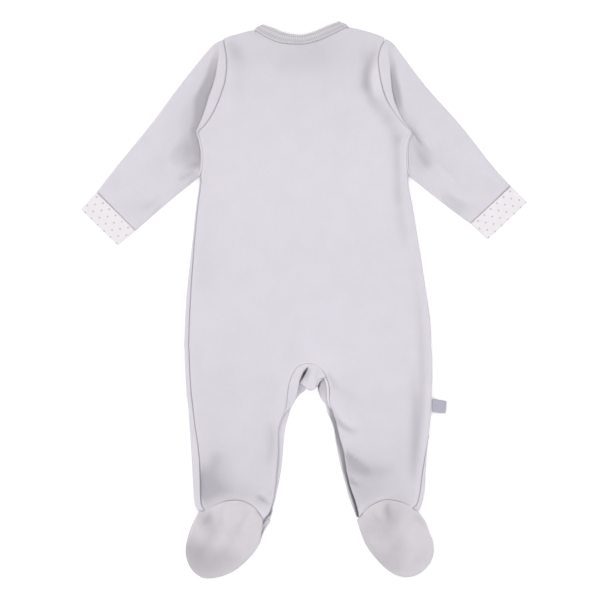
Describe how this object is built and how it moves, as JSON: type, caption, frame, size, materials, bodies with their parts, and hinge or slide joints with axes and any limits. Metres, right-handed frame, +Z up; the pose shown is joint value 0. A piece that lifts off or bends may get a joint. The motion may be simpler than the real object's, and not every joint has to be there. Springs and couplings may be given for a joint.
{
  "type": "footed baby sleepsuit",
  "caption": "Footed long-sleeved baby sleepsuit in plain cotton interlock, laid flat with its back up, with pale turned-back cuffs, ribbed neck binding and rounded soles.",
  "frame": {"origin": "middle of the garment's bounding box in plan, on the surface that it lies on", "axes": "+Y from the feet to the neck, +Z up from the surface to the back of the garment, +X across it to the tagged side seam"},
  "size_m": [0.469, 0.5868, 0.0068],
  "materials": {
    "lilac_grey_interlock": "soft brushed cotton interlock, pale lilac grey",
    "sole_interlock": "the same cotton interlock, a little greyer on the soles",
    "ribbed_binding": "one-by-one cotton rib with rows of stitches",
    "dotted_cuff_cotton": "near-white cotton jersey with small grey dots",
    "tag_tape": "woven tape, bare"
  },
  "bodies": {
    "root": {"back_panel": "lilac_grey_interlock", "front_left": "lilac_grey_interlock", "front_right": "lilac_grey_interlock", "sleeve_left": "lilac_grey_interlock", "sleeve_right": "lilac_grey_interlock", "cuff_left": "dotted_cuff_cotton", "cuff_right": "dotted_cuff_cotton", "neck_binding": "ribbed_binding", "crotch_band_back": "lilac_grey_interlock", "crotch_gusset": "lilac_grey_interlock", "inseam_band_left": "lilac_grey_interlock", "inseam_band_right": "lilac_grey_interlock", "sole_left": "sole_interlock", "sole_right": "sole_interlock", "foot_upper_left": "lilac_grey_interlock", "foot_upper_right": "lilac_grey_interlock", "side_tag": "tag_tape"}
  },
  "joints": []
}
